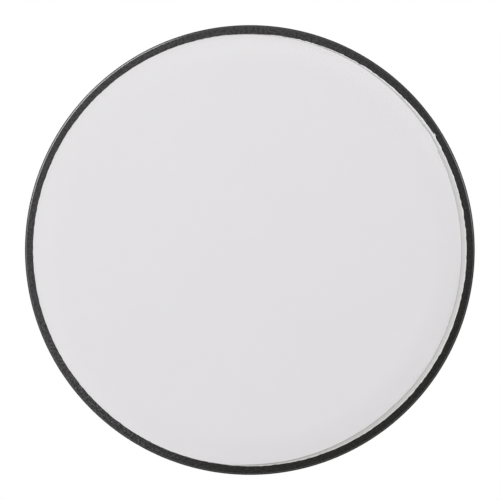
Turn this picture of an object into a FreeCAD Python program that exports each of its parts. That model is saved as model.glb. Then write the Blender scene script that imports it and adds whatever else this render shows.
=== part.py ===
import FreeCAD, Part
import math
import os

# Canister survey prism: a cube-corner glass in a thin black can that screws
# on to a rear housing with a 5/8 inch, 11 threads per inch mounting socket.
# Millimetres. The optical axis is Y and the glass looks towards -Y, +Z is up.
# The origin is the mouth of the mounting socket, on the axis.
# Depths are measured from the front rim's plane towards the rear.

# overall
LENGTH = 70.0
CAN_R = 33.2
CLEAR_R = 32.0

# cutting solids run this far past the material, and are this large across
OVERSHOOT = 1.0
CUTTER = 40.0

# front lip of the sleeve
LIP_T = 1.0
LIP_CHAMFER = 0.3
LIP_EASE = 0.08
NICK_ANGLE = 31.5
NICK_W = 0.9
NICK_DEPTH = 0.18

# sleeve
BORE_R = 32.5
SLEEVE_END = 46.0
SLEEVE_CHAMFER = 0.25
GROOVE_DEPTH = 0.15
GROOVE_W = 0.5
GROOVES_AT = (7.5, 9.0, 41.5)

# sealant bead between lip and glass: how far it shows past the lip, by angle;
# it runs from its step once round, and hides behind the lip where this is negative
SEAL_T = 0.5
SEAL_R = 32.45
SEAL_POINTS = 30
SEAL_SHOWS = (
    (31.0, 0.54), (60.0, 0.37), (88.0, 0.0), (105.0, -0.15), (245.0, -0.15), (262.0, 0.0),
    (285.0, 0.53), (300.0, 0.70), (330.0, 0.74), (360.0, 0.81), (391.0, 0.80),
)

# glass
GLASS_R = 32.3
GLASS_BAND = 2.5
GLASS_CHAMFER = 0.3
SILVER_T = 0.15
LACQUER_T = 0.15
COAT_R = 32.0
EDGE_ANGLES = (90.0, 210.0, 330.0)
FACET_ANGLES = (30.0, 150.0, 270.0)

# centring band round the glass
BAND_R = 32.48
BAND_START = 1.9
BAND_END = 3.9

# cup and pads behind the prism
PAD_T = 1.2
PAD_R = 7.0
PAD_AT = 24.0
CUP_R = 32.2
CUP_START = 8.5
CUP_NECK_R = 27.0
CUP_NECK_AT = 36.0
CUP_END = 46.0

# washer between sleeve and housing shoulder
JOINT_T = 0.5
JOINT_IN_R = 32.5
JOINT_OUT_R = 32.8

# rear housing
SPIGOT_START = 37.5
SPIGOT_R = 32.42
SPIGOT_BORE_R = 28.0
SPIGOT_CHAMFER = 0.4
SPRING_SEAT = 50.0
APEX_RECESS_R = 16.0
APEX_RECESS_END = 54.0
WALL_END = 56.0
CENTRE_HOLE_R = 5.0
CONE_START = 56.5
CONE_END = 61.0
CONE_END_R = 24.0
BOSS_R = 17.0
BOSS_CHAMFER = 0.6
INSERT_BORE_R = 10.0
FLATS_ACROSS = 32.0
FLATS_LENGTH = 5.5

# O-ring in the spigot
ORING_AT = 44.4
ORING_R = 0.72
ORING_CENTRE_R = 31.72
ORING_GROOVE_W = 1.9
ORING_GROOVE_R = 30.98

# ribbed grip band
GRIP_START = 48.5
GRIP_END = 54.5
GRIP_IN_R = 31.9
GRIP_OUT_R = 32.8
GRIP_RIBS = 60
GRIP_NOTCH_R = 0.55
GRIP_NOTCH_AT_R = 32.9

# spring and its washer
THRUST_IN_R = 18.0
THRUST_OUT_R = 26.6
THRUST_GAP = 0.06
THRUST_T = 0.8
SPRING_IN_R = 20.5
SPRING_OUT_R = 25.5
SPRING_T = 0.4
SPRING_WAVES = 4
SPRING_STEPS = 64

# thread insert: the socket is modelled at the thread's major radius
SOCKET_R = 7.94
SOCKET_DEPTH = 13.0
INSERT_R = 9.9
FLANGE_R = 15.0
FLANGE_SEAT_R = 15.05
FLANGE_T = 1.8
SEAL_WASHER_T = 0.4
DISC_T = 0.8
DISC_R = 9.95

# flange screws, 2.5 mm countersunk, and the dowel
SCREW_ANGLES = (90.0, 210.0, 330.0)
SCREW_PCD_R = 12.4
SCREW_R = 1.25
SCREW_HEAD_R = 2.35
SCREW_HEAD_T = 1.3
SCREW_LENGTH = 7.0
HOLE_SPARE = 0.5
HEX_ACROSS = 1.5
HEX_DEPTH = 0.9
DOWEL_ANGLE = 150.0
DOWEL_R = 0.75
DOWEL_LENGTH = 5.5
DOWEL_SINK = 0.3

# purge screw
PURGE_ANGLE = 90.0
PURGE_AT_R = 20.5
PURGE_R = 1.5
PURGE_LENGTH = 5.0
PURGE_HEAD_R = 2.75
PURGE_HEAD_T = 1.8
PURGE_SEAL_R = 2.9
PURGE_SEAL_T = 0.5
SLOT_W = 0.7
SLOT_DEPTH = 0.8

AXIS = FreeCAD.Vector(0, 1, 0)
ORIGIN = FreeCAD.Vector(0, 0, 0)
GLASS_FRONT = LIP_T + SEAL_T
GLASS_APEX = GLASS_FRONT + GLASS_BAND + math.sqrt(2.0) * GLASS_R


def at(depth, radius=0.0, angle=0.0):
    """Point at a depth behind the rim, a radius and an angle seen from the front."""
    a = math.radians(angle)
    return FreeCAD.Vector(radius * math.cos(a), depth - LENGTH, radius * math.sin(a))


def turned(profile):
    """Solid of revolution about the optical axis from (depth, radius) points."""
    points = [at(depth, radius) for depth, radius in profile]
    face = Part.Face(Part.makePolygon(points + points[:1]))
    return face.revolve(ORIGIN, AXIS, 360.0)


def rod(radius, start, end, at_radius=0.0, angle=0.0):
    """Cylinder along the optical axis."""
    return Part.makeCylinder(radius, end - start, at(start, at_radius, angle), AXIS)


def ring(r_out, r_in, start, end):
    return turned([(start, r_in), (start, r_out), (end, r_out), (end, r_in)])


def corner(apex):
    """Cube corner: three planes at right angles that meet at the apex, open to the front."""
    height = 2.0 * CAN_R
    spread = math.sqrt(2.0) * height
    base = [at(apex - height, spread, a) for a in EDGE_ANGLES]
    top = at(apex)
    faces = [Part.Face(Part.makePolygon(base + base[:1]))]
    for i in range(3):
        side = [base[i], base[(i + 1) % 3], top, base[i]]
        faces.append(Part.Face(Part.makePolygon(side)))
    return Part.Solid(Part.Shell(faces))


def apex_behind(offset):
    """Apex depth of a cube corner whose planes lie this far outside the glass."""
    return GLASS_APEX + math.sqrt(3.0) * offset


def facet_normal(angle):
    a = math.radians(angle)
    out = math.sqrt(2.0 / 3.0)
    return FreeCAD.Vector(out * math.cos(a), math.sqrt(1.0 / 3.0), out * math.sin(a))


def hexagon(across, start, end, at_radius, angle):
    centre = at(start, at_radius, angle)
    r = across / math.sqrt(3.0)
    points = []
    for i in range(7):
        a = math.radians(60.0 * i)
        points.append(centre + FreeCAD.Vector(r * math.cos(a), 0, r * math.sin(a)))
    return Part.Face(Part.makePolygon(points)).extrude(AXIS * (end - start))


def make_sleeve():
    profile = [
        (0.0, CLEAR_R + LIP_EASE),
        (0.0, CAN_R - LIP_CHAMFER),
        (LIP_CHAMFER, CAN_R),
    ]
    for g in GROOVES_AT:
        profile += [
            (g, CAN_R),
            (g + GROOVE_DEPTH, CAN_R - GROOVE_DEPTH),
            (g + GROOVE_W - GROOVE_DEPTH, CAN_R - GROOVE_DEPTH),
            (g + GROOVE_W, CAN_R),
        ]
    profile += [
        (SLEEVE_END - SLEEVE_CHAMFER, CAN_R),
        (SLEEVE_END, CAN_R - SLEEVE_CHAMFER),
        (SLEEVE_END, BORE_R),
        (LIP_T, BORE_R),
        (LIP_T, CLEAR_R),
        (LIP_EASE, CLEAR_R),
    ]
    nick_floor = at(0.0, CLEAR_R + NICK_DEPTH - OVERSHOOT)
    nick = Part.makeBox(OVERSHOOT, LIP_T, NICK_W, nick_floor - FreeCAD.Vector(0, 0, NICK_W / 2.0))
    nick.rotate(ORIGIN, AXIS, -NICK_ANGLE)
    return turned(profile).cut(nick)


def seal_shows(angle):
    """How far the bead shows past the lip at an angle, along straight runs of its table."""
    for (start, first), (end, last) in zip(SEAL_SHOWS, SEAL_SHOWS[1:]):
        if angle <= end:
            return first + (last - first) * (angle - start) / (end - start)


def make_front_seal():
    first, last = SEAL_SHOWS[0][0], SEAL_SHOWS[-1][0]
    angles = [first + (last - first) * i / SEAL_POINTS for i in range(SEAL_POINTS + 1)]
    edge = [at(LIP_T, CLEAR_R - seal_shows(a), a) for a in angles]
    inner = Part.BSplineCurve()
    inner.interpolate(edge)
    step = Part.makeLine(edge[-1], edge[0])
    hole = Part.Face(Part.Wire([inner.toShape(), step]))
    hole = hole.extrude(AXIS * SEAL_T)
    disc = rod(SEAL_R, LIP_T, LIP_T + SEAL_T)
    return disc.cut(hole)


def make_prism():
    blank = turned([
        (GLASS_FRONT, 0.0),
        (GLASS_FRONT, GLASS_R - GLASS_CHAMFER),
        (GLASS_FRONT + GLASS_CHAMFER, GLASS_R),
        (GLASS_APEX, GLASS_R),
        (GLASS_APEX, 0.0),
    ])
    return blank.common(corner(GLASS_APEX))


def make_coat(inside, outside):
    blank = rod(COAT_R, GLASS_FRONT + GLASS_BAND - OVERSHOOT, GLASS_APEX + OVERSHOOT)
    return blank.common(corner(apex_behind(outside))).cut(corner(apex_behind(inside)))


def make_cup():
    body = turned([
        (CUP_START, 0.0),
        (CUP_START, CUP_R),
        (CUP_NECK_AT, CUP_R),
        (CUP_NECK_AT, CUP_NECK_R),
        (CUP_END, CUP_NECK_R),
        (CUP_END, 0.0),
    ])
    return body.cut(corner(apex_behind(SILVER_T + LACQUER_T + PAD_T)))


def make_facet_pads():
    pads = []
    for a in FACET_ANGLES:
        normal = facet_normal(a)
        base = at(GLASS_APEX - PAD_AT, PAD_AT / math.sqrt(2.0), a)
        base += normal * (SILVER_T + LACQUER_T)
        pads.append(Part.makeCylinder(PAD_R, PAD_T, base, normal))
    return Part.makeCompound(pads)


def make_housing():
    half = ORING_GROOVE_W / 2.0
    shoulder = SLEEVE_END + JOINT_T
    seal_seat = LENGTH - FLANGE_T - SEAL_WASHER_T
    body = turned([
        (SPIGOT_START, SPIGOT_BORE_R),
        (SPIGOT_START, SPIGOT_R - SPIGOT_CHAMFER),
        (SPIGOT_START + SPIGOT_CHAMFER, SPIGOT_R),
        (ORING_AT - half, SPIGOT_R),
        (ORING_AT - half, ORING_GROOVE_R),
        (ORING_AT + half, ORING_GROOVE_R),
        (ORING_AT + half, SPIGOT_R),
        (shoulder, SPIGOT_R),
        (shoulder, CAN_R - SLEEVE_CHAMFER),
        (shoulder + SLEEVE_CHAMFER, CAN_R),
        (GRIP_START, CAN_R),
        (GRIP_START, GRIP_IN_R),
        (GRIP_END, GRIP_IN_R),
        (GRIP_END, CAN_R),
        (CONE_START, CAN_R),
        (CONE_END, CONE_END_R),
        (CONE_END, BOSS_R),
        (LENGTH - BOSS_CHAMFER, BOSS_R),
        (LENGTH, BOSS_R - BOSS_CHAMFER),
        (LENGTH, FLANGE_SEAT_R),
        (seal_seat, FLANGE_SEAT_R),
        (seal_seat, INSERT_BORE_R),
        (WALL_END, INSERT_BORE_R),
        (WALL_END, CENTRE_HOLE_R),
        (APEX_RECESS_END, CENTRE_HOLE_R),
        (APEX_RECESS_END, APEX_RECESS_R),
        (SPRING_SEAT, APEX_RECESS_R),
        (SPRING_SEAT, SPIGOT_BORE_R),
    ])
    for start in (FLATS_ACROSS / 2.0, -FLATS_ACROSS / 2.0 - CUTTER):
        flat = Part.makeBox(CUTTER, FLATS_LENGTH, CUTTER)
        flat.translate(FreeCAD.Vector(start, -FLATS_LENGTH, -CUTTER / 2.0))
        body = body.cut(flat)
    for a in SCREW_ANGLES:
        hole_start = LENGTH - SCREW_LENGTH - HOLE_SPARE
        body = body.cut(rod(SCREW_R, hole_start, LENGTH, SCREW_PCD_R, a))
    dowel_start = LENGTH - DOWEL_SINK - DOWEL_LENGTH - HOLE_SPARE
    body = body.cut(rod(DOWEL_R, dowel_start, LENGTH, SCREW_PCD_R, DOWEL_ANGLE))
    return body.cut(rod(PURGE_R, SPRING_SEAT - OVERSHOOT, CONE_END, PURGE_AT_R, PURGE_ANGLE))


def make_grip_band():
    band = ring(GRIP_OUT_R, GRIP_IN_R, GRIP_START, GRIP_END)
    notches = []
    for i in range(GRIP_RIBS):
        angle = 360.0 * i / GRIP_RIBS
        notches.append(rod(GRIP_NOTCH_R, GRIP_START, GRIP_END, GRIP_NOTCH_AT_R, angle))
    return band.cut(notches)


def make_wave_spring():
    start = CUP_END + THRUST_GAP + THRUST_T
    rise = (SPRING_SEAT - start - SPRING_T) / 2.0
    edges = []
    for lift in (0.0, SPRING_T):
        for radius in (SPRING_IN_R, SPRING_OUT_R):
            points = []
            for i in range(SPRING_STEPS):
                angle = 360.0 * i / SPRING_STEPS
                wave = math.sin(math.radians(SPRING_WAVES * angle))
                points.append(at(start + rise * (1.0 + wave) + lift, radius, angle))
            curve = Part.BSplineCurve()
            curve.interpolate(points, PeriodicFlag=True)
            edges.append(curve.toShape())
    low_in, low_out, high_in, high_out = edges
    pairs = ((low_in, low_out), (low_out, high_out), (high_out, high_in), (high_in, low_in))
    faces = [Part.makeRuledSurface(a, b) for a, b in pairs]
    shell = Part.Shell(faces)
    shell.sewShape()
    solid = Part.Solid(shell)
    if solid.Volume < 0:
        solid.reverse()
    return solid


def make_insert():
    flange_front = LENGTH - FLANGE_T
    mouth = LENGTH - SOCKET_DEPTH
    body = turned([
        (mouth, SOCKET_R),
        (mouth, INSERT_R),
        (flange_front, INSERT_R),
        (flange_front, FLANGE_R),
        (LENGTH, FLANGE_R),
        (LENGTH, SOCKET_R),
    ])
    hole_start = flange_front - OVERSHOOT
    for a in SCREW_ANGLES:
        body = body.cut(make_screw_blank(a, hole_start))
    return body.cut(rod(DOWEL_R, hole_start, LENGTH, SCREW_PCD_R, DOWEL_ANGLE))


def make_screw_blank(angle, tip):
    """Countersunk head and plain shank of one flange screw."""
    head_end = LENGTH - SCREW_HEAD_T
    head = Part.makeCone(
        SCREW_R, SCREW_HEAD_R, SCREW_HEAD_T, at(head_end, SCREW_PCD_R, angle), AXIS
    )
    return rod(SCREW_R, tip, head_end, SCREW_PCD_R, angle).fuse(head)


def make_insert_screws():
    screws = []
    for a in SCREW_ANGLES:
        screw = make_screw_blank(a, LENGTH - SCREW_LENGTH)
        socket = hexagon(HEX_ACROSS, LENGTH - HEX_DEPTH, LENGTH, SCREW_PCD_R, a)
        screws.append(screw.cut(socket))
    return Part.makeCompound(screws)


def make_insert_seal():
    flange_front = LENGTH - FLANGE_T
    seal = ring(FLANGE_R, INSERT_BORE_R, flange_front - SEAL_WASHER_T, flange_front)
    start = flange_front - SEAL_WASHER_T
    for a in SCREW_ANGLES:
        seal = seal.cut(rod(SCREW_R, start, flange_front, SCREW_PCD_R, a))
    return seal.cut(rod(DOWEL_R, start, flange_front, SCREW_PCD_R, DOWEL_ANGLE))


def make_dowel():
    end = LENGTH - DOWEL_SINK
    return rod(DOWEL_R, end - DOWEL_LENGTH, end, SCREW_PCD_R, DOWEL_ANGLE)


def make_purge_screw():
    seat = CONE_END + PURGE_SEAL_T
    shank = rod(PURGE_R, seat - PURGE_LENGTH, seat, PURGE_AT_R, PURGE_ANGLE)
    head = rod(PURGE_HEAD_R, seat, seat + PURGE_HEAD_T, PURGE_AT_R, PURGE_ANGLE)
    top = at(seat + PURGE_HEAD_T - SLOT_DEPTH, PURGE_AT_R, PURGE_ANGLE)
    slot = Part.makeBox(
        3.0 * PURGE_HEAD_R,
        SLOT_DEPTH,
        SLOT_W,
        top - FreeCAD.Vector(1.5 * PURGE_HEAD_R, 0, SLOT_W / 2.0),
    )
    return shank.fuse(head).cut(slot)


def make_purge_seal():
    end = CONE_END + PURGE_SEAL_T
    seal = rod(PURGE_SEAL_R, CONE_END, end, PURGE_AT_R, PURGE_ANGLE)
    return seal.cut(rod(PURGE_R, CONE_END, end, PURGE_AT_R, PURGE_ANGLE))


thrust_start = CUP_END + THRUST_GAP
coated = SILVER_T + LACQUER_T
parts = {
    "sleeve": make_sleeve(),
    "front_seal": make_front_seal(),
    "prism": make_prism(),
    "prism_silvering": make_coat(0.0, SILVER_T),
    "prism_lacquer": make_coat(SILVER_T, coated),
    "centering_band": ring(BAND_R, GLASS_R, BAND_START, BAND_END),
    "facet_pads": make_facet_pads(),
    "prism_cup": make_cup(),
    "joint_washer": ring(JOINT_OUT_R, JOINT_IN_R, SLEEVE_END, SLEEVE_END + JOINT_T),
    "rear_housing": make_housing(),
    "spigot_oring": Part.makeTorus(ORING_CENTRE_R, ORING_R, at(ORING_AT), AXIS),
    "thrust_washer": ring(THRUST_OUT_R, THRUST_IN_R, thrust_start, thrust_start + THRUST_T),
    "wave_spring": make_wave_spring(),
    "grip_band": make_grip_band(),
    "bore_seal_disc": rod(DISC_R, WALL_END, WALL_END + DISC_T),
    "thread_insert": make_insert(),
    "insert_seal": make_insert_seal(),
    "insert_screws": make_insert_screws(),
    "insert_dowel": make_dowel(),
    "purge_screw": make_purge_screw(),
    "purge_seal": make_purge_seal(),
}

os.makedirs("parts", exist_ok=True)
for name, shape in parts.items():
    shape.exportStep("parts/" + name + ".step")
    print(name, "valid", shape.isValid(), "volume", round(shape.Volume, 3), len(shape.Solids))
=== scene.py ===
import math

import bmesh
import bpy
from mathutils import Matrix, Vector, noise


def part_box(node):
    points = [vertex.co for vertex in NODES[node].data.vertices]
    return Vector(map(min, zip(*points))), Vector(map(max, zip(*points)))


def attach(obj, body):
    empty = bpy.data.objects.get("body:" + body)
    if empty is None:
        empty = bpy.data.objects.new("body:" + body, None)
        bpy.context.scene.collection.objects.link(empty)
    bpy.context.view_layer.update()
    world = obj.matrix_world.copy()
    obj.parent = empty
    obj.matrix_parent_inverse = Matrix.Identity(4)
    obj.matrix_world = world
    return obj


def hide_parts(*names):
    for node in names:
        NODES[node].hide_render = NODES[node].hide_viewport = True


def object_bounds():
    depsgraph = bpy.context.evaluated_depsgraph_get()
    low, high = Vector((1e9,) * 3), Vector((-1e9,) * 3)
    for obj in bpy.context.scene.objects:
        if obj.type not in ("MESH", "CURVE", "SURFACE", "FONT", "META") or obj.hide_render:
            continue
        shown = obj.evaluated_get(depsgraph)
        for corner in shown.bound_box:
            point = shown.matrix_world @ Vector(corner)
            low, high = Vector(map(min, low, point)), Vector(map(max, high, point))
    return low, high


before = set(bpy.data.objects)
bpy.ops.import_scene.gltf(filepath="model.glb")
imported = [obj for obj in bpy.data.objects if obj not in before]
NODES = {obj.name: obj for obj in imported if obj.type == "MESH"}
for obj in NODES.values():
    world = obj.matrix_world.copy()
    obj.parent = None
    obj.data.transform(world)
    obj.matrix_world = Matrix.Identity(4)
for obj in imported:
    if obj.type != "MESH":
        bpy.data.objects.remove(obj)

# The optical axis is Y, the glass looks towards -Y and +Z is up. Depths run
# from the front rim's plane towards the rear. Angles round the axis are in
# degrees, as seen from the front: 0 is at the right and 90 at the top.
MM = 0.001
CAD_LOW, CAD_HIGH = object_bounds()
RIM_WIDTH = 1.2 * MM
WALL_T = 0.7 * MM
RIM_Y = CAD_LOW.y
CAN_R = CAD_HIGH.x
CLEAR_R = CAN_R - RIM_WIDTH
BORE_R = CAN_R - WALL_T
GLASS_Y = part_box("prism")[0].y
APEX_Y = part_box("prism")[1].y
SLEEVE_END_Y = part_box("sleeve")[1].y
# faces that meet at less than this are shaded as one
SMOOTH_BELOW = math.radians(25.0)

# lip of the sleeve: its front is flat, then slopes to a small shoulder and a round edge
LIP_T = 1.0 * MM
LIP_EASE = 0.08 * MM
LIP_SLOPE_W = 0.12 * MM
LIP_SLOPE_T = 0.076 * MM
LIP_SHOULDER_W = 0.085 * MM
LIP_ROUND_R = 0.055 * MM
LIP_ROUND_STEPS = 4
LIP_SET_IN = 0.045 * MM
LIP_RAGGED = 0.06 * MM
LIP_RAGGED_SCALE = 46.0
LIP_OVAL = 0.05 * MM
LIP_NARROW_ANGLE = 80.0
# worn stretch of the lip's inner edge with a nick in it: how far it stands back, in mm, by angle
LIP_WORN = (
    (27.2, 0.0), (28.2, 0.09), (31.0, 0.09), (32.0, 0.29), (33.0, 0.20), (36.0, 0.08), (46.0, 0.0),
)

# the rest of the sleeve
GROOVE_DEPTHS = (7.5 * MM, 9.0 * MM, 41.5 * MM)
GROOVE_W = 0.5 * MM
GROOVE_T = 0.15 * MM
SLEEVE_CHAMFER = 0.25 * MM
SLEEVE_STEPS = 720

# sealant bead: how far it shows inside the lip, in mm, by angle; past 360 it goes on from 0
BEAD_SHOWS = (
    (259.0, 0.0), (270.0, 0.35), (285.0, 0.49), (300.0, 0.68), (308.0, 0.74), (330.0, 0.73),
    (360.0, 0.81), (379.0, 0.79), (382.0, 0.70), (387.5, 0.68), (389.0, 0.50), (391.0, 0.53),
    (392.0, 0.44), (394.0, 0.46), (396.0, 0.53), (420.0, 0.37), (448.0, 0.0),
)
# its section: share of the width inside the lip, and share of the height above the glass
BEAD_SECTION = ((-0.12, 1.0), (0.14, 0.98), (0.35, 0.80), (0.6, 0.5), (0.85, 0.2), (1.0, 0.02))
BEAD_STEP = 0.5
BEAD_HEIGHT = 0.95 * MM
BEAD_FULL_WIDTH = 0.6 * MM
BEAD_LEAST_WIDTH = 0.01 * MM
BEAD_UNDER_LIP = 0.02 * MM
BEAD_UNEVEN = 0.05 * MM
BEAD_UNEVEN_SCALE = 24.0
# painted highlight next to the lip: where it starts and where it is full
BEAD_TOP_STARTS_R = CLEAR_R - 0.2 * MM
BEAD_TOP_FULL_R = CLEAR_R - 0.08 * MM

# optics
GLASS_IOR = 1.52
GLASS_INSET = 0.03 * MM
GLASS_GAP = 0.05 * MM
GLASS_R = BORE_R - GLASS_GAP
GLASS_EASE = 0.02 * MM
GLASS_STEPS = 288
EDGE_ANGLES = (90.0, 210.0, 330.0)
HALF_FACET_ANGLE = 60.0
# painted light: weight of a white film on the glass that lightens the face towards the upper left, and
# its extra weight near the rim there
PAINTED_LIGHT_FILM_WEIGHT = 0.045
PAINTED_LIGHT_FILM_AT_RIM = 0.10
BAND_GAP = 0.01 * MM
BAND_OPENING = 3.0
BAND_STEPS = 240

# angles towards which the looks change across the can: painted light on the lip, dust specks on the
# lip, painted light on the bead, and the film of painted light on the glass
LIP_PAINTED_LIGHT_ANGLE = 135.0
LIP_SPECKS_ANGLE = 222.0
BEAD_PAINTED_LIGHT_ANGLE = 75.0
PAINTED_LIGHT_FILM_ANGLE = 130.0

# socket thread, 5/8 inch with 11 threads per inch: over one pitch its ridge is a triangle
# of this peak and slope, in shares of the thread's height, cut off flat at 0 and at 1
THREAD_R = 7.93 * MM
THREAD_HEIGHT = 1.13 * MM
THREAD_PITCH = 25.4 / 11.0 * MM
THREAD_PEAK = 1.25
THREAD_SLOPE = 2.9
THREAD_STEPS = 96
THREAD_ROWS_PER_PITCH = 16

# camera; the can's disc takes DISC_SHARE of the frame's width
LENS = 1600.0
SENSOR = 36.0
CLIP_END = 50.0
DISC_SHARE = 0.8998
SHIFT = (0.00027, 0.0)
VIEW_AZIMUTH = -0.25
VIEW_ELEVATION = 0.0

# light and floor; the strip light's parts are (angle, power in watts)
STRIP_PARTS = ((120.0, 3.3), (140.0, 3.7), (160.0, 2.6), (180.0, 0.6))
STRIP_OFF_AXIS = math.radians(64.5)
STRIP_DISTANCE = 1.3
STRIP_LENGTH = 0.41
STRIP_WIDTH = 0.2
SIDE_LAMP_AT = (1.10, -0.56, 0.35)
SIDE_LAMP_SIZE = 0.5
SIDE_LAMP_POWER = 2.5
FLOOR_GAP = 8.2 * MM
FLOOR_HALF = 0.3


def polar(radius, angle, y):
    """Point at a radius and an angle round the optical axis."""
    turn = math.radians(angle)
    return Vector((radius * math.cos(turn), y, radius * math.sin(turn)))


def grey(value):
    """Neutral colour."""
    return (value, value, value)


def between(table, angle):
    """Value of a table of (angle, value) pairs: straight over a long span, eased over a short one."""
    longest_eased = 5.0
    for (start, low), (end, high) in zip(table, table[1:]):
        if start <= angle <= end:
            share = (angle - start) / (end - start)
            if end - start < longest_eased:
                share *= share * (3.0 - 2.0 * share)
            return low + (high - low) * share
    return 0.0


def ragged(angle, scale):
    """Repeatable unevenness between -1 and 1 along a circle."""
    turn = math.radians(angle)
    return noise.noise(Vector((math.cos(turn), math.sin(turn), 0.37)) * scale)


# ---------------------------------------------------------------- materials


class Graph:
    """A Principled material with short calls for the nodes that it uses."""

    def __init__(self, name):
        self.material = bpy.data.materials.new(name)
        self.material.use_nodes = True
        self.tree = self.material.node_tree
        self.bsdf = self.tree.nodes["Principled BSDF"]
        self.place = self.tree.nodes.new("ShaderNodeTexCoord").outputs["Object"]

    def put(self, socket, value):
        """Link a socket or set a plain value."""
        if isinstance(value, bpy.types.NodeSocket):
            self.tree.links.new(value, socket)
        elif isinstance(value, tuple) and len(value) == 3 and len(socket.default_value) == 4:
            socket.default_value = (*value, 1.0)
        else:
            socket.default_value = value

    def noise(self, scale, detail=3.0):
        """Mottle from 0 to 1 with blotches of about 1/scale metres."""
        node = self.tree.nodes.new("ShaderNodeTexNoise")
        self.put(node.inputs["Vector"], self.place)
        self.put(node.inputs["Scale"], scale)
        self.put(node.inputs["Detail"], detail)
        self.put(node.inputs["Roughness"], 0.55)
        return node.outputs["Fac"]

    def rings(self, pitch):
        """Turned lines round the optical axis, one per pitch in metres from the object's origin."""
        node = self.tree.nodes.new("ShaderNodeTexWave")
        node.wave_type = "RINGS"
        node.rings_direction = "SPHERICAL"
        self.put(node.inputs["Vector"], self.place)
        # at scale 1 the wave node goes through 20 radians per metre
        self.put(node.inputs["Scale"], 2.0 * math.pi / 20.0 / pitch)
        self.put(node.inputs["Distortion"], 0.6)
        self.put(node.inputs["Detail Scale"], 2.0)
        return node.outputs["Fac"]

    def remap(self, value, low, high, new_low=0.0, new_high=1.0):
        """Spread the range from low to high over a new one, and hold its ends beyond it."""
        node = self.tree.nodes.new("ShaderNodeMapRange")
        names = ("Value", "From Min", "From Max", "To Min", "To Max")
        for name, number in zip(names, (value, low, high, new_low, new_high)):
            self.put(node.inputs[name], number)
        return node.outputs["Result"]

    def mix(self, factor, first, second):
        """Blend of two colours: the first at factor 0, the second at 1."""
        node = self.tree.nodes.new("ShaderNodeMix")
        node.data_type = "RGBA"
        self.put(node.inputs["Factor"], factor)
        colors = [s for s in node.inputs if s.type == "RGBA"]
        self.put(colors[0], first)
        self.put(colors[1], second)
        return next(s for s in node.outputs if s.type == "RGBA")

    def math(self, operation, first, second):
        """Two numbers combined, such as by ADD or MULTIPLY."""
        node = self.tree.nodes.new("ShaderNodeMath")
        node.operation = operation
        self.put(node.inputs[0], first)
        self.put(node.inputs[1], second)
        return node.outputs["Value"]

    def dot(self, first, second):
        """Dot product of two vectors."""
        node = self.tree.nodes.new("ShaderNodeVectorMath")
        node.operation = "DOT_PRODUCT"
        self.put(node.inputs[0], first)
        self.put(node.inputs[1], second)
        return node.outputs["Value"]

    def soft_edges(self, radius):
        """Normal that rounds edges off by a radius."""
        node = self.tree.nodes.new("ShaderNodeBevel")
        node.samples = 4
        self.put(node.inputs["Radius"], radius)
        return node.outputs["Normal"]

    def edge_mask(self, soft_normal):
        """1 on an edge that the soft normal rounds, 0 on a flat, by the cosine between the normals."""
        plain = self.tree.nodes.new("ShaderNodeNewGeometry").outputs["Normal"]
        return self.remap(self.dot(soft_normal, plain), 0.8, 0.995, 1.0, 0.0)

    def across(self, angle):
        """From -1 to 1 across the can, towards an angle."""
        return self.dot(self.place, tuple(polar(1.0 / CAN_R, angle, 0.0)))

    def off_axis(self):
        """Distance from the optical axis, 1 at the can's outside."""
        flat = self.tree.nodes.new("ShaderNodeVectorMath")
        flat.operation = "MULTIPLY"
        self.put(flat.inputs[0], self.place)
        self.put(flat.inputs[1], (1.0 / CAN_R, 0.0, 1.0 / CAN_R))
        length = self.tree.nodes.new("ShaderNodeVectorMath")
        length.operation = "LENGTH"
        self.put(length.inputs[0], flat.outputs["Vector"])
        return length.outputs["Value"]

    def bump(self, height, distance, normal=None):
        """Normal of a relief as deep as the distance, laid on another normal if one is given."""
        node = self.tree.nodes.new("ShaderNodeBump")
        self.put(node.inputs["Height"], height)
        self.put(node.inputs["Distance"], distance)
        if normal is not None:
            self.put(node.inputs["Normal"], normal)
        return node.outputs["Normal"]

    def shade(self, **values):
        """Set the shader's own sockets: base_color becomes Base Color and so on."""
        names = {s.name.lower().replace(" ", "_"): s for s in self.bsdf.inputs}
        for name, value in values.items():
            self.put(names[name], value)
        return self.material


def machined(name, dark, light, worn, rough, line, grain, edge, specular=0.5, metallic=0.0):
    """Turned or painted metal: mottle, fine grain, tool lines and edges that have rubbed."""
    graph = Graph(name)
    fine = graph.noise(grain)
    soft = graph.soft_edges(edge)
    patches = graph.remap(graph.noise(700.0), 0.45, 0.62)
    rubbed = graph.math("MULTIPLY", graph.edge_mask(soft), patches)
    lines = graph.rings(line)
    mottle = graph.remap(graph.noise(90.0), 0.35, 0.65, 0.0, 0.5)
    tone = graph.math("ADD", mottle, graph.remap(lines, 0.2, 0.8, 0.0, 0.5))
    relief = graph.bump(fine, 0.006 * MM, graph.bump(lines, 0.004 * MM, soft))
    return graph.shade(
        base_color=graph.mix(rubbed, graph.mix(tone, dark, light), worn),
        roughness=graph.remap(graph.noise(180.0, 1.0), 0.2, 0.8, rough - 0.03, rough + 0.04),
        metallic=metallic,
        specular_ior_level=specular,
        normal=relief,
    )


def moulded(name, dark, light, rough, grain, relief):
    """Rubber, plastic, fibre or film: mottle and a grained skin."""
    graph = Graph(name)
    mottle = graph.remap(graph.noise(120.0), 0.35, 0.65)
    return graph.shade(
        base_color=graph.mix(mottle, dark, light),
        roughness=graph.remap(graph.noise(400.0), 0.3, 0.7, rough - 0.05, rough + 0.07),
        normal=graph.bump(graph.noise(grain, 4.0), relief, graph.soft_edges(0.08 * MM)),
    )


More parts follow.
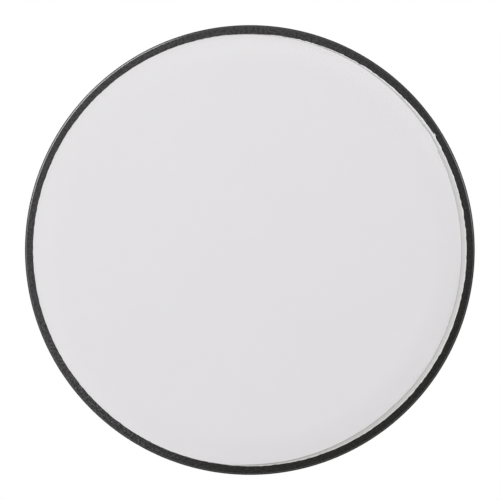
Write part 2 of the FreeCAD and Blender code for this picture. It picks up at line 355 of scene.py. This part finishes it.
def lip_material():
    """Front face of the lip: matt black with pale specks, and painted light that makes it a little
    lighter at the upper left and darker and warmer at the lower right.
    """
    graph = Graph("anodised_lip")
    # painted light: the black is lighter towards the upper left, with a darker, warmer painted shade
    # towards the lower right
    tone = graph.remap(graph.across(LIP_PAINTED_LIGHT_ANGLE), -0.9, 0.9)
    grain = graph.remap(graph.noise(2800.0, 2.0), 0.40, 0.60)
    dark = graph.mix(grain, (0.0045, 0.0042, 0.0038), (0.0130, 0.0122, 0.0114))
    light = graph.mix(grain, (0.0200, 0.0200, 0.0205), (0.0430, 0.0430, 0.0440))
    worn_side = graph.remap(graph.across(LIP_SPECKS_ANGLE), 0.76, 0.98, 0.04, 0.9)
    specks = graph.math("MULTIPLY", graph.remap(graph.noise(3800.0, 2.0), 0.50, 0.62), worn_side)
    return graph.shade(
        base_color=graph.mix(specks, graph.mix(tone, dark, light), grey(0.08)),
        roughness=graph.remap(graph.noise(900.0), 0.3, 0.7, 0.5, 0.68),
        specular_ior_level=0.15,
        normal=graph.bump(graph.noise(5200.0, 4.0), 0.012 * MM, graph.soft_edges(0.02 * MM)),
    )


def sealant_material():
    """Pale sealant with painted light and shade: a painted shadow darkens its foot on the glass, which
    is also warmer, a painted highlight runs next to the lip, and the bead is painted lighter towards
    the upper right.
    """
    graph = Graph("pale_sealant")
    depth = graph.dot(graph.place, (0.0, 1.0, 0.0))
    climb = graph.remap(depth, GLASS_Y, GLASS_Y - BEAD_HEIGHT)
    # painted light: the bead is lighter towards the upper right, with a painted highlight there
    side = graph.across(BEAD_PAINTED_LIGHT_ANGLE)
    tone = graph.remap(side, -0.8, 0.9)
    painted_highlight_side = graph.remap(side, 0.70, 0.92)
    # painted shadow: the foot on the glass is darker than the flank and the top
    painted_shade_foot = graph.mix(tone, (0.250, 0.246, 0.241), (0.408, 0.406, 0.406))
    flank = graph.mix(tone, (0.352, 0.348, 0.340), (0.495, 0.495, 0.494))
    flank = graph.mix(painted_highlight_side, flank, grey(0.70))
    top = graph.mix(tone, (0.590, 0.587, 0.576), grey(0.710))
    top = graph.mix(painted_highlight_side, top, grey(0.92))
    lower = graph.mix(graph.remap(climb, 0.15, 0.35), painted_shade_foot, flank)
    # painted highlight: a paler band next to the lip
    lip_highlight_band = graph.remap(graph.off_axis(), BEAD_TOP_STARTS_R / CAN_R, BEAD_TOP_FULL_R / CAN_R)
    streaks = graph.remap(graph.noise(1500.0, 4.0), 0.4, 0.7, 0.0, 0.3)
    plain = graph.mix(lip_highlight_band, lower, top)
    streaked = graph.mix(lip_highlight_band, flank, top)
    return graph.shade(
        base_color=graph.mix(streaks, plain, streaked),
        roughness=graph.remap(graph.noise(800.0), 0.3, 0.7, 0.45, 0.65),
        specular_ior_level=0.3,
        normal=graph.bump(graph.noise(2200.0, 3.0), 0.03 * MM),
    )


def glass_material():
    """Clear glass with painted light: a thin white film, heavier at the upper left and in a crescent
    near the rim there, lightens the face there; its weight is faintly mottled.
    """
    graph = Graph("prism_glass")
    # painted light: the film lightens the face towards the upper left, most in a crescent near the rim
    side = graph.across(PAINTED_LIGHT_FILM_ANGLE)
    clear = graph.remap(side, -1.0, 1.0, 1.0, 1.0 - PAINTED_LIGHT_FILM_WEIGHT)
    near_rim = graph.remap(graph.off_axis(), 0.84, 0.96)
    painted_light_crescent = graph.math("MULTIPLY", graph.remap(side, 0.1, 0.8), near_rim)
    at_rim = graph.math("MULTIPLY", painted_light_crescent, PAINTED_LIGHT_FILM_AT_RIM)
    mottle = graph.remap(graph.noise(60.0, 2.0), 0.3, 0.7, 0.003, -0.003)
    return graph.shade(
        base_color=grey(1.0),
        roughness=0.0,
        ior=GLASS_IOR,
        transmission_weight=graph.math("ADD", graph.math("SUBTRACT", clear, at_rim), mottle),
    )


def mirror_material():
    """The silvering seen through the glass, with painted light that makes it a little brighter at its
    edge.
    """
    graph = Graph("prism_mirror")
    patches = graph.remap(graph.noise(220.0, 2.0), 0.4, 0.6)
    tint = graph.mix(patches, (0.9078, 0.9013, 0.9066), (0.9064, 0.9013, 0.9086))
    # painted light: brighter towards the rim, lifting the shade that falls on the face near the lip
    edge = graph.remap(graph.off_axis(), 0.88, 0.965)
    tint = graph.mix(edge, tint, (0.9240, 0.9180, 0.9232))
    return graph.shade(base_color=tint, roughness=0.0, metallic=1.0)


def anodised():
    """Black of the sleeve, satin with fine turned lines."""
    return machined(
        "anodised_sleeve", (0.010, 0.010, 0.0105), (0.016, 0.016, 0.0165), grey(0.10),
        rough=0.30, line=0.16 * MM, grain=3800.0, edge=0.02 * MM,
    )


def rubbed_edge():
    """Slope near the lip's outer edge, smoother than the rest of the sleeve."""
    return machined(
        "anodised_edge", grey(0.012), grey(0.018), grey(0.10),
        rough=0.20, line=0.16 * MM, grain=3800.0, edge=0.01 * MM, specular=0.6,
    )


def housing_paint():
    return machined(
        "housing_paint", (0.012, 0.012, 0.0125), (0.019, 0.019, 0.020), grey(0.12),
        rough=0.42, line=0.25 * MM, grain=2600.0, edge=0.18 * MM, specular=0.45,
    )


def brass():
    return machined(
        "screw_brass", (0.50, 0.34, 0.11), (0.60, 0.43, 0.16), (0.80, 0.64, 0.30),
        rough=0.28, line=0.18 * MM, grain=2600.0, edge=0.12 * MM, metallic=1.0,
    )


def steel(name, tone, rough, line):
    """Bare steel or silver of a tone, about a third lighter in places."""
    light = tuple(1.35 * c for c in tone)
    return machined(
        name, tone, light, (0.8, 0.8, 0.79),
        rough=rough, line=line, grain=3000.0, edge=0.12 * MM, metallic=1.0,
    )


def band_film():
    return moulded(
        "band_film", (0.60, 0.60, 0.57), (0.70, 0.70, 0.67),
        rough=0.45, grain=900.0, relief=0.01 * MM,
    )


def lacquer():
    return moulded(
        "lacquer", (0.010, 0.010, 0.012), (0.018, 0.018, 0.020),
        rough=0.3, grain=900.0, relief=0.02 * MM,
    )


def pad_rubber():
    return moulded("pad_rubber", grey(0.020), grey(0.035), rough=0.8, grain=1800.0, relief=0.03 * MM)


def cup_plastic():
    return moulded(
        "cup_plastic", (0.022, 0.022, 0.024), (0.034, 0.034, 0.036),
        rough=0.5, grain=1500.0, relief=0.02 * MM,
    )


def nylon():
    return moulded(
        "washer_nylon", (0.55, 0.54, 0.50), (0.66, 0.65, 0.61),
        rough=0.42, grain=1600.0, relief=0.01 * MM,
    )


def oring_rubber():
    return moulded("oring_rubber", grey(0.010), grey(0.016), rough=0.55, grain=1500.0, relief=0.01 * MM)


def grip_rubber():
    return moulded(
        "grip_rubber", grey(0.011), (0.020, 0.020, 0.019),
        rough=0.72, grain=2400.0, relief=0.03 * MM,
    )


def fibre():
    return moulded(
        "fibre", (0.24, 0.055, 0.035), (0.33, 0.085, 0.05),
        rough=0.7, grain=2600.0, relief=0.04 * MM,
    )


def floor_pale():
    return moulded("floor_pale", grey(0.86), grey(0.9), rough=0.6, grain=300.0, relief=0.05 * MM)


# ------------------------------------------------------------------ pieces


def finish_mesh(name, bm, materials, body, slot, *nodes):
    """Turn a bmesh into a piece that rides on a body and may stand for CAD nodes."""
    bmesh.ops.recalc_face_normals(bm, faces=bm.faces)
    for face in bm.faces:
        face.smooth = True
    for edge in bm.edges:
        edge.smooth = len(edge.link_faces) == 2 and edge.calc_face_angle() < SMOOTH_BELOW
    mesh = bpy.data.meshes.new(name)
    bm.to_mesh(mesh)
    bm.free()
    for material in materials:
        mesh.materials.append(material)
    piece = bpy.data.objects.new(name, mesh)
    bpy.context.scene.collection.objects.link(piece)
    if nodes:
        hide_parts(*nodes)
    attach(piece, body)
    return piece


def skin(bm, loops, closed, material_at=lambda row: 0):
    """Quads between neighbouring loops of vertices; closed joins each loop's ends."""
    for row, (near, far) in enumerate(zip(loops, loops[1:])):
        count = len(near) if closed else len(near) - 1
        for i in range(count):
            j = (i + 1) % len(near)
            bm.faces.new((near[i], far[i], far[j], near[j])).material_index = material_at(row)


def sleeve_profile():
    """(depth, radius) points round the sleeve's section, from the lip's inner edge outwards."""
    shoulder_r = CAN_R - LIP_ROUND_R - LIP_SHOULDER_W
    points = [
        (0.0, CLEAR_R + LIP_EASE),
        (0.0, shoulder_r - LIP_SLOPE_W),
        (LIP_SLOPE_T, shoulder_r),
    ]
    for i in range(LIP_ROUND_STEPS + 1):
        turn = math.pi / 2 * i / LIP_ROUND_STEPS
        depth = LIP_SLOPE_T + LIP_ROUND_R * (1.0 - math.cos(turn))
        points.append((depth, CAN_R - LIP_ROUND_R * (1.0 - math.sin(turn))))
    for groove in GROOVE_DEPTHS:
        points.append((groove, CAN_R))
        points.append((groove + GROOVE_T, CAN_R - GROOVE_T))
        points.append((groove + GROOVE_W - GROOVE_T, CAN_R - GROOVE_T))
        points.append((groove + GROOVE_W, CAN_R))
    end = SLEEVE_END_Y - RIM_Y
    points += [
        (end - SLEEVE_CHAMFER, CAN_R),
        (end, CAN_R - SLEEVE_CHAMFER),
        (end, BORE_R),
        (LIP_T, BORE_R),
        (LIP_T, CLEAR_R),
        (LIP_EASE, CLEAR_R),
    ]
    return points


def lip_shift(angle):
    """How far the lip's inner edge stands back: slightly oval, finely ragged, worn at one stretch."""
    right = max(0.0, math.cos(math.radians(angle)))
    oval = -LIP_OVAL * math.cos(2.0 * math.radians(angle - LIP_NARROW_ANGLE))
    worn = between(LIP_WORN, angle) * MM
    return worn + oval - LIP_SET_IN + LIP_RAGGED * (1.0 + right) * ragged(angle, LIP_RAGGED_SCALE)


def make_sleeve():
    """Can with an in-turned lip that is matt but for its slope, which has rubbed smooth."""
    bm = bmesh.new()
    loops = []
    for depth, radius in sleeve_profile():
        loop = []
        for i in range(SLEEVE_STEPS):
            angle = 360.0 * i / SLEEVE_STEPS
            shift = lip_shift(angle) if radius <= CLEAR_R + LIP_EASE else 0.0
            loop.append(bm.verts.new(polar(radius + shift, angle, RIM_Y + depth)))
        loops.append(loop)
    matt, satin, rubbed = range(3)
    slope_row = 1
    last_front_row = 2 + LIP_ROUND_STEPS
    first_inner_row = len(loops) - 2

    def material_at(row):
        if row == slope_row:
            return rubbed
        return matt if row <= last_front_row or row >= first_inner_row else satin

    skin(bm, loops + loops[:1], True, material_at)
    materials = [lip_material(), anodised(), rubbed_edge()]
    piece = finish_mesh("sleeve_turned", bm, materials, "can_body", "black_anodised", "sleeve")
    # or the lip would show in the face, mirrored by the cube corner
    piece.visible_transmission = False


def make_bead():
    """Fillet of sealant from the lip's wall down to the glass, as wide as it shows."""
    bm = bmesh.new()
    start, end = BEAD_SHOWS[0][0], BEAD_SHOWS[-1][0]
    steps = round((end - start) / BEAD_STEP)
    loops = []
    for share, climb in BEAD_SECTION:
        loop = []
        for i in range(steps + 1):
            angle = start + BEAD_STEP * i
            width = between(BEAD_SHOWS, angle) * MM
            full = min(1.0, width / BEAD_FULL_WIDTH)
            inwards = share * max(width, BEAD_LEAST_WIDTH)
            uneven = BEAD_UNEVEN * ragged(angle, BEAD_UNEVEN_SCALE) * full * max(share, 0.0)
            radius = CLEAR_R + BEAD_UNDER_LIP - inwards + uneven
            loop.append(bm.verts.new(polar(radius, angle, GLASS_Y - climb * full * BEAD_HEIGHT)))
        loops.append(loop)
    skin(bm, loops, False)
    materials = [sealant_material()]
    piece = finish_mesh("sealant_bead", bm, materials, "can_body", "pale_sealant", "front_seal")
    # like the lip, it would show in the face
    piece.visible_transmission = False


def make_band():
    """Thin film round the glass, with a gap where its ends meet."""
    bm = bmesh.new()
    front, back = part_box("centering_band")[0].y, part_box("centering_band")[1].y
    inner, outer = GLASS_R + BAND_GAP, BORE_R - BAND_GAP
    span = 360.0 - BAND_OPENING
    angles = [BAND_OPENING / 2.0 + span * i / BAND_STEPS for i in range(BAND_STEPS + 1)]
    corners = ((front, inner), (front, outer), (back, outer), (back, inner), (front, inner))
    loops = []
    for y, radius in corners:
        loops.append([bm.verts.new(polar(radius, angle, y)) for angle in angles])
    skin(bm, loops, False)
    finish_mesh("centering_film", bm, [band_film()], "can_body", "band_film", "centering_band")


def make_glass():
    """Cylinder that ends in a cube corner: clear front and side, silvered facets."""
    clear, mirror = glass_material(), mirror_material()
    materials = [clear, mirror]
    bm = bmesh.new()
    front = GLASS_Y + GLASS_INSET
    apex = bm.verts.new((0.0, APEX_Y - GLASS_INSET, 0.0))
    centre = bm.verts.new((0.0, front, 0.0))
    rim, side, back = [], [], []
    for i in range(GLASS_STEPS):
        angle = 360.0 * i / GLASS_STEPS
        # the facet that faces this angle most squarely cuts the cylinder nearest the front
        square = max(math.cos(math.radians(angle - edge - HALF_FACET_ANGLE)) for edge in EDGE_ANGLES)
        back_y = apex.co.y - GLASS_R * square * math.sqrt(2.0)
        rim.append(bm.verts.new(polar(GLASS_R - GLASS_EASE, angle, front)))
        side.append(bm.verts.new(polar(GLASS_R, angle, front + GLASS_EASE)))
        back.append(bm.verts.new(polar(GLASS_R, angle, back_y)))
    for i in range(GLASS_STEPS):
        bm.faces.new((centre, rim[i], rim[(i + 1) % GLASS_STEPS]))
    skin(bm, [rim, side, back], True)
    third = GLASS_STEPS // 3
    first = round(EDGE_ANGLES[0] / 360.0 * GLASS_STEPS)
    for k in range(3):
        run = [back[(first + k * third + i) % GLASS_STEPS] for i in range(third + 1)]
        bm.faces.new(run + [apex]).material_index = materials.index(mirror)
    finish_mesh("prism_glass", bm, materials, "can_body", "glass", "prism")


def make_socket_thread():
    """Helical ridges inside the socket, fading out in a lead-in at its mouth."""
    bm = bmesh.new()
    deep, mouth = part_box("thread_insert")[0].y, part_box("thread_insert")[1].y
    rows = round((mouth - deep) / THREAD_PITCH * THREAD_ROWS_PER_PITCH)
    loops = []
    for row in range(rows + 1):
        y = deep + (mouth - deep) * row / rows
        lead_in = min(1.0, max(0.0, (mouth - y) / THREAD_HEIGHT))
        loop = []
        for i in range(THREAD_STEPS):
            turn = i / THREAD_STEPS
            phase = (y / THREAD_PITCH + turn) % 1.0
            ridge = min(1.0, max(0.0, THREAD_PEAK - abs(phase - 0.5) * THREAD_SLOPE))
            height = THREAD_HEIGHT * min(ridge, lead_in)
            loop.append(bm.verts.new(polar(THREAD_R - height, 360.0 * turn, y)))
        loops.append(loop)
    skin(bm, loops, True)
    materials = [steel("thread_steel", (0.42, 0.42, 0.41), 0.3, 0.2 * MM)]
    finish_mesh("socket_thread", bm, materials, "housing_body", "insert_steel")


def assign(material, *nodes):
    """Give CAD nodes a material in place of their own."""
    for node in nodes:
        mesh = NODES[node].data
        mesh.materials.clear()
        mesh.materials.append(material)


def finish_nodes():
    """Materials of the CAD nodes that keep their own shape, those inside too."""
    assign(steel("silver", (0.80, 0.80, 0.79), 0.12, 0.5 * MM), "prism_silvering")
    assign(lacquer(), "prism_lacquer")
    assign(pad_rubber(), "facet_pads")
    assign(cup_plastic(), "prism_cup")
    assign(nylon(), "joint_washer")
    assign(housing_paint(), "rear_housing")
    assign(oring_rubber(), "spigot_oring")
    assign(steel("spring_steel", (0.40, 0.40, 0.41), 0.3, 0.3 * MM), "thrust_washer", "wave_spring")
    assign(grip_rubber(), "grip_band")
    assign(steel("insert_steel", (0.38, 0.38, 0.37), 0.3, 0.55 * MM), "thread_insert")
    screw_steel = steel("screw_steel", (0.23, 0.23, 0.24), 0.34, 0.15 * MM)
    assign(screw_steel, "bore_seal_disc", "insert_screws", "insert_dowel")
    assign(fibre(), "insert_seal", "purge_seal")
    assign(brass(), "purge_screw")


# ------------------------------------------------------------------- stage


def make_world():
    """Even white surroundings, which the glass sends back."""
    world = bpy.data.worlds.new("studio")
    world.use_nodes = True
    world.node_tree.nodes["Background"].inputs["Color"].default_value = (1.0, 1.0, 1.0, 1.0)
    bpy.context.scene.world = world


def make_camera():
    """Long lens almost square to the rim, as far off as gives the disc its share of the frame."""
    data = bpy.data.cameras.new("camera")
    data.lens = LENS
    data.sensor_width = SENSOR
    data.shift_x, data.shift_y = SHIFT
    data.clip_end = CLIP_END
    camera = bpy.data.objects.new("camera", data)
    bpy.context.scene.collection.objects.link(camera)
    bpy.context.scene.camera = camera
    distance = CAN_R / DISC_SHARE * 2.0 * LENS / SENSOR
    azimuth, elevation = math.radians(VIEW_AZIMUTH), math.radians(VIEW_ELEVATION)
    back = Vector((
        math.sin(azimuth) * math.cos(elevation),
        -math.cos(azimuth) * math.cos(elevation),
        math.sin(elevation),
    ))
    camera.location = Vector((0.0, RIM_Y, 0.0)) + back * distance
    camera.rotation_mode = "QUATERNION"
    camera.rotation_quaternion = (-back).to_track_quat("-Z", "Y")


def make_lamp(name, location, size, power):
    """Square softbox aimed at the middle of the part. Neither it nor its glare shows in the glass."""
    data = bpy.data.lights.new(name, "AREA")
    data.size = size
    data.energy = power
    lamp = bpy.data.objects.new(name, data)
    bpy.context.scene.collection.objects.link(lamp)
    lamp.location = location
    lamp.rotation_mode = "QUATERNION"
    aim = Vector((0.0, RIM_Y / 2.0, 0.0)) - lamp.location
    lamp.rotation_quaternion = aim.to_track_quat("-Z", "Y")
    lamp.visible_camera = False
    lamp.visible_transmission = False
    return lamp


def make_strip_part(angle, power):
    """One straight part of a curved strip light in front of the can, facing the rim's centre."""
    out = polar(math.sin(STRIP_OFF_AXIS), angle, -math.cos(STRIP_OFF_AXIS))
    along = polar(1.0, angle + 90.0, 0.0)
    location = Vector((0.0, RIM_Y, 0.0)) + STRIP_DISTANCE * out
    lamp = make_lamp("strip", location, STRIP_LENGTH, power)
    lamp.data.shape = "RECTANGLE"
    lamp.data.size_y = STRIP_WIDTH
    lamp.rotation_quaternion = Matrix((along, out.cross(along), out)).transposed().to_quaternion()


def make_floor():
    """Pale floor a little below the can, which keeps it out of the front view."""
    mesh = bpy.data.meshes.new("floor")
    z = CAD_LOW.z - FLOOR_GAP
    corners = [(x * FLOOR_HALF, y * FLOOR_HALF, z) for x, y in ((-1, -1), (1, -1), (1, 1), (-1, 1))]
    mesh.from_pydata(corners, [], [(0, 1, 2, 3)])
    floor = bpy.data.objects.new("floor", mesh)
    bpy.context.scene.collection.objects.link(floor)
    mesh.materials.append(floor_pale())


def set_colours_and_light_paths():
    """Plain colours, and light paths long enough for the cube corner, where short ones leave grain."""
    scene = bpy.context.scene
    scene.view_settings.view_transform = "Standard"
    scene.view_settings.look = "None"
    scene.cycles.glossy_bounces = 10
    scene.cycles.max_bounces = 16
    scene.cycles.min_light_bounces = 12


make_sleeve()
make_bead()
make_band()
make_glass()
make_socket_thread()
finish_nodes()
make_world()
make_camera()
make_floor()
for strip_angle, strip_power in STRIP_PARTS:
    make_strip_part(strip_angle, strip_power)
make_lamp("right", SIDE_LAMP_AT, SIDE_LAMP_SIZE, SIDE_LAMP_POWER)
set_colours_and_light_paths()
